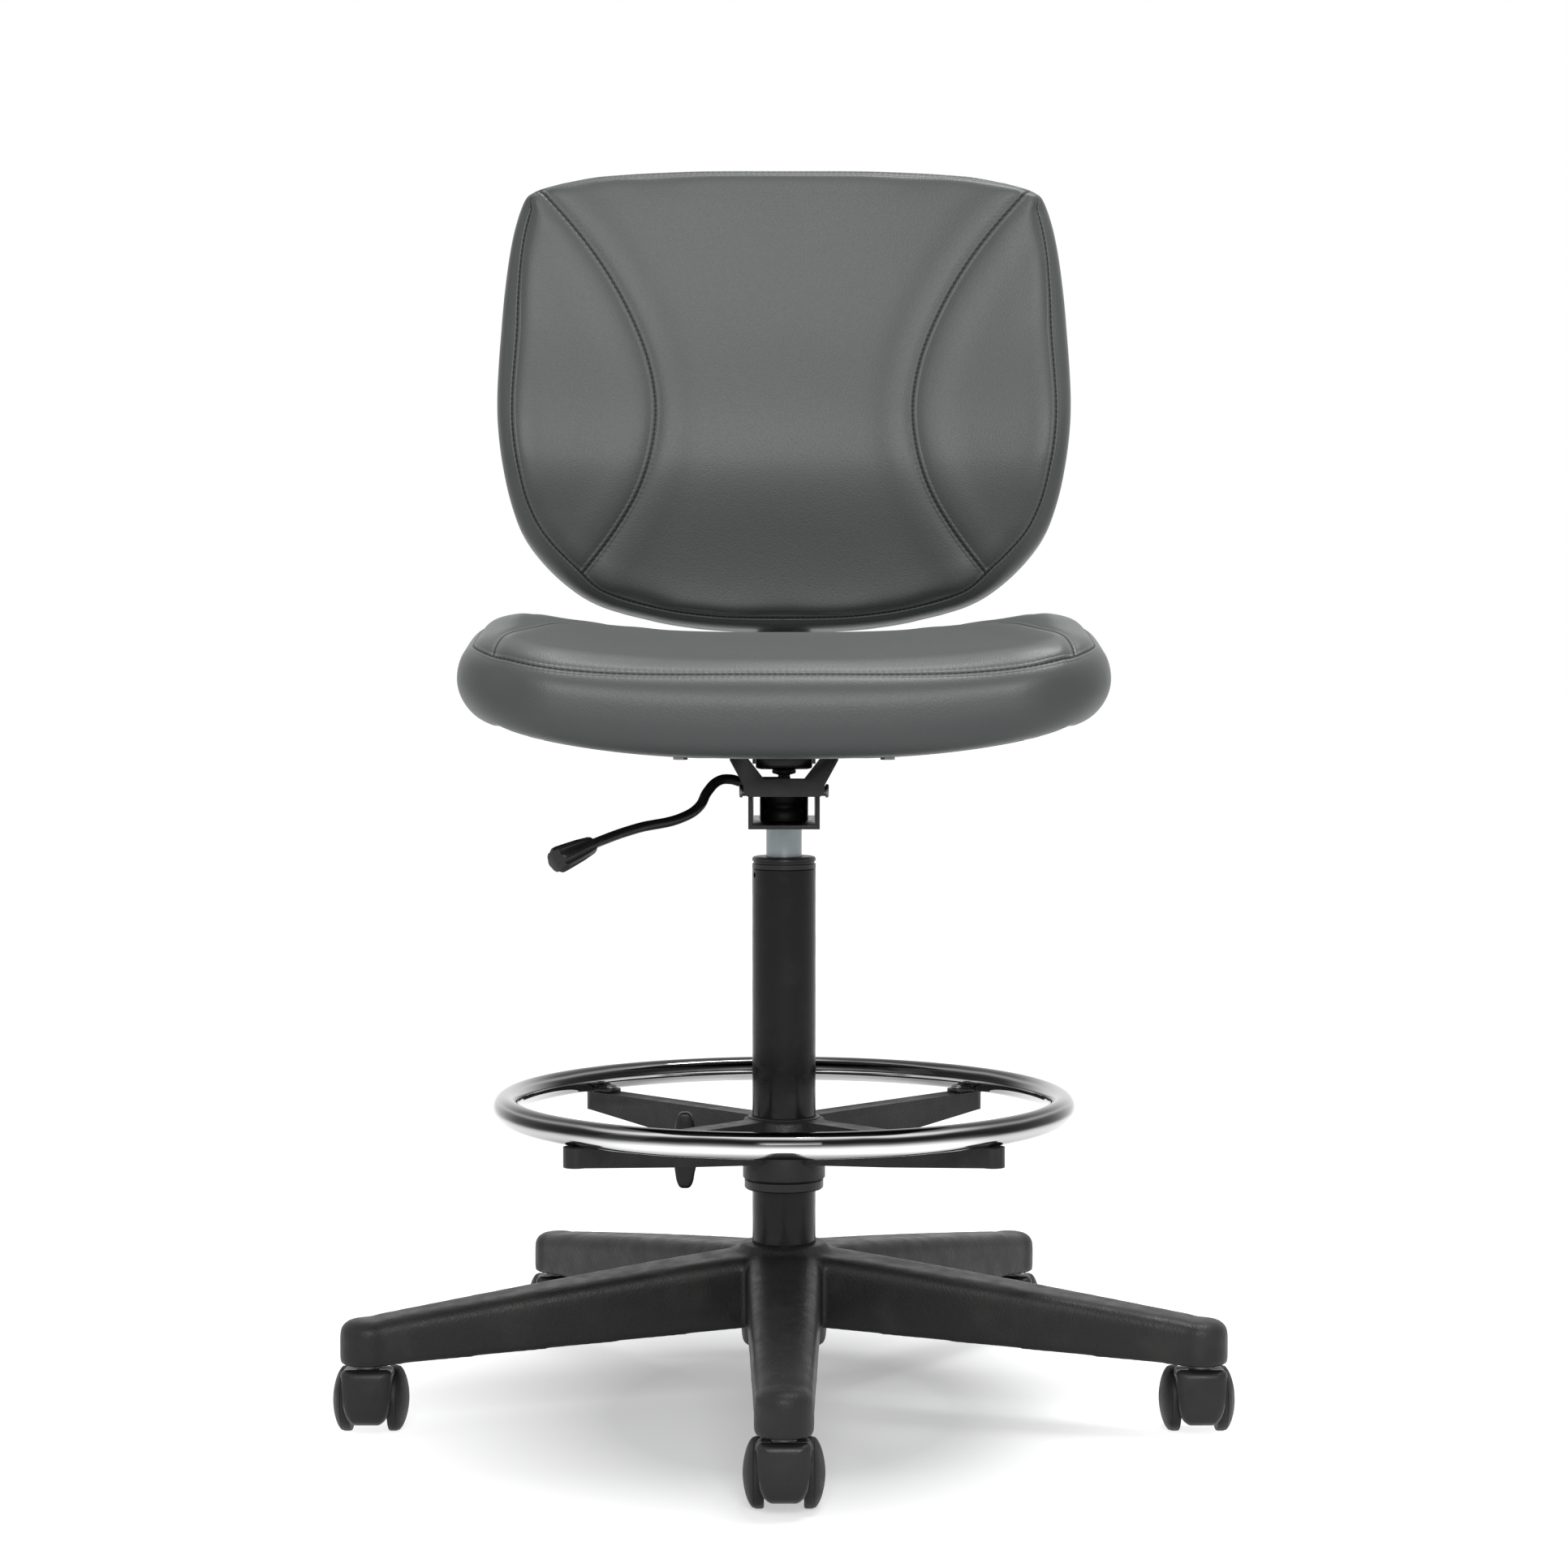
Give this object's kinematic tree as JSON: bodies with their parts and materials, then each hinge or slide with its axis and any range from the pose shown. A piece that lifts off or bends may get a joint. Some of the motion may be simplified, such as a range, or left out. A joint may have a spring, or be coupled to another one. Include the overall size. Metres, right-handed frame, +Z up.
{
  "type": "drafting chair",
  "caption": "Armless drafting chair: padded seat and back on a bent bar, gas column with foot ring, star base on twin-wheel casters.",
  "frame": {"origin": "on the floor, in the middle of the footprint box; the column's axis stands 18 mm behind it, at y = 0.018, because every caster trails backwards", "axes": "+Z up, -Y towards the front of the chair, +X to the right of someone looking at its front"},
  "size_m": [0.6914, 0.669, 0.9985],
  "materials": {
    "black_nylon": "matte",
    "black_rubber": "matte",
    "black_paint": "satin",
    "chrome": "polished",
    "steel": "satin",
    "plywood": "matte",
    "cushion_foam": "satin",
    "upholstery": "satin"
  },
  "bodies": {
    "base": {"base_star": "black_nylon", "column_tube": "black_paint", "column_bush": "black_nylon", "thrust_bearing": "steel", "caster_1_stem": "steel", "caster_2_stem": "steel", "caster_3_stem": "steel", "caster_4_stem": "steel", "caster_5_stem": "steel"},
    "piston": {"piston_rod": "steel", "retaining_clip": "steel"},
    "lift": {"gas_cylinder": "steel", "mechanism_pan": "black_paint", "lever_bush": "black_nylon", "tilt_axle": "steel", "tilt_buffer": "black_rubber"},
    "valve": {"valve_button": "black_nylon"},
    "lever": {"lever_rod": "black_paint", "lever_knob": "black_nylon"},
    "seat": {"seat_bracket": "black_paint", "seat_board": "plywood", "seat_cushion": "cushion_foam", "seat_bolt_1": "steel", "seat_bolt_2": "steel", "seat_bolt_3": "steel", "seat_bolt_4": "steel", "back_upright": "black_paint", "upright_bolt": "steel", "back_board": "plywood", "back_cushion": "cushion_foam", "back_bolt_1": "steel", "back_bolt_2": "steel"},
    "collar": {"ring_sleeve": "black_nylon"},
    "ring": {"spoke_hub": "black_nylon", "foot_ring": "chrome", "ring_screw_1": "steel", "ring_screw_2": "steel", "ring_screw_3": "steel", "ring_screw_4": "steel"},
    "clamp": {"clamp_knob": "black_nylon"},
    "caster_1": {"caster_1_housing": "black_nylon", "caster_1_axle": "steel"},
    "caster_1_left": {"caster_1_wheel_left": "black_rubber"},
    "caster_1_right": {"caster_1_wheel_right": "black_rubber"},
    "caster_2": {"caster_2_housing": "black_nylon", "caster_2_axle": "steel"},
    "caster_2_left": {"caster_2_wheel_left": "black_rubber"},
    "caster_2_right": {"caster_2_wheel_right": "black_rubber"},
    "caster_3": {"caster_3_housing": "black_nylon", "caster_3_axle": "steel"},
    "caster_3_left": {"caster_3_wheel_left": "black_rubber"},
    "caster_3_right": {"caster_3_wheel_right": "black_rubber"},
    "caster_4": {"caster_4_housing": "black_nylon", "caster_4_axle": "steel"},
    "caster_4_left": {"caster_4_wheel_left": "black_rubber"},
    "caster_4_right": {"caster_4_wheel_right": "black_rubber"},
    "caster_5": {"caster_5_housing": "black_nylon", "caster_5_axle": "steel"},
    "caster_5_left": {"caster_5_wheel_left": "black_rubber"},
    "caster_5_right": {"caster_5_wheel_right": "black_rubber"}
  },
  "joints": [
    {"name": "seat_swivel", "type": "hinge", "parent": "base", "child": "piston", "pos_m": [0, 0.018, 0.05], "axis": [0, 0, 1], "continuous": true},
    {"name": "seat_lift", "type": "slide", "parent": "piston", "child": "lift", "axis": [0, 0, 1], "range_m": [0, 0.25]},
    {"name": "lever_lift", "type": "hinge", "parent": "lift", "child": "lever", "pos_m": [-0.0258, 0.018, 0.4945], "axis": [0, 1, 0], "range_deg": [0, 7], "stiffness_Nm_per_rad": 1, "springref_deg": -5.73},
    {"name": "valve_press", "type": "slide", "parent": "lift", "child": "valve", "axis": [0, 0, -1], "range_m": [0, 0.0034]},
    {"name": "seat_tilt", "type": "hinge", "parent": "lift", "child": "seat", "pos_m": [0, -0.06, 0.491], "axis": [-1, 0, 0], "range_deg": [0, 9], "stiffness_Nm_per_rad": 250, "springref_deg": -11.46, "deforming": ["tilt_buffer"]},
    {"name": "ring_height", "type": "slide", "parent": "base", "child": "collar", "axis": [0, 0, 1], "range_m": [-0.035, 0.15]},
    {"name": "ring_turn", "type": "hinge", "parent": "collar", "child": "ring", "pos_m": [0, 0.018, 0.24], "axis": [0, 0, 1], "continuous": true},
    {"name": "clamp_turn", "type": "hinge", "parent": "ring", "child": "clamp", "pos_m": [-0.07, 0.018, 0.2035], "axis": [-1, 0, 0], "range_deg": [0, 180]},
    {"name": "caster_1_swivel", "type": "hinge", "parent": "base", "child": "caster_1", "pos_m": [0, -0.315, 0.05], "axis": [0, 0, 1], "continuous": true},
    {"name": "caster_1_left_spin", "type": "hinge", "parent": "caster_1", "child": "caster_1_left", "pos_m": [0, -0.295, 0.025], "axis": [1, 0, 0], "continuous": true},
    {"name": "caster_1_right_spin", "type": "hinge", "parent": "caster_1", "child": "caster_1_right", "pos_m": [0, -0.295, 0.025], "axis": [1, 0, 0], "continuous": true},
    {"name": "caster_2_swivel", "type": "hinge", "parent": "base", "child": "caster_2", "pos_m": [0.3167, -0.0849, 0.05], "axis": [0, 0, 1], "continuous": true},
    {"name": "caster_2_left_spin", "type": "hinge", "parent": "caster_2", "child": "caster_2_left", "pos_m": [0.3167, -0.0649, 0.025], "axis": [1, 0, 0], "continuous": true},
    {"name": "caster_2_right_spin", "type": "hinge", "parent": "caster_2", "child": "caster_2_right", "pos_m": [0.3167, -0.0649, 0.025], "axis": [1, 0, 0], "continuous": true},
    {"name": "caster_3_swivel", "type": "hinge", "parent": "base", "child": "caster_3", "pos_m": [0.19573, 0.2874, 0.05], "axis": [0, 0, 1], "continuous": true},
    {"name": "caster_3_left_spin", "type": "hinge", "parent": "caster_3", "child": "caster_3_left", "pos_m": [0.19573, 0.3074, 0.025], "axis": [1, 0, 0], "continuous": true},
    {"name": "caster_3_right_spin", "type": "hinge", "parent": "caster_3", "child": "caster_3_right", "pos_m": [0.19573, 0.3074, 0.025], "axis": [1, 0, 0], "continuous": true},
    {"name": "caster_4_swivel", "type": "hinge", "parent": "base", "child": "caster_4", "pos_m": [-0.19573, 0.2874, 0.05], "axis": [0, 0, 1], "continuous": true},
    {"name": "caster_4_left_spin", "type": "hinge", "parent": "caster_4", "child": "caster_4_left", "pos_m": [-0.19573, 0.3074, 0.025], "axis": [1, 0, 0], "continuous": true},
    {"name": "caster_4_right_spin", "type": "hinge", "parent": "caster_4", "child": "caster_4_right", "pos_m": [-0.19573, 0.3074, 0.025], "axis": [1, 0, 0], "continuous": true},
    {"name": "caster_5_swivel", "type": "hinge", "parent": "base", "child": "caster_5", "pos_m": [-0.3167, -0.0849, 0.05], "axis": [0, 0, 1], "continuous": true},
    {"name": "caster_5_left_spin", "type": "hinge", "parent": "caster_5", "child": "caster_5_left", "pos_m": [-0.3167, -0.0649, 0.025], "axis": [1, 0, 0], "continuous": true},
    {"name": "caster_5_right_spin", "type": "hinge", "parent": "caster_5", "child": "caster_5_right", "pos_m": [-0.3167, -0.0649, 0.025], "axis": [1, 0, 0], "continuous": true}
  ],
  "couplings": [
    {"joint": "valve_press", "follows": "lever_lift", "m_per_rad": 0.0275}
  ]
}
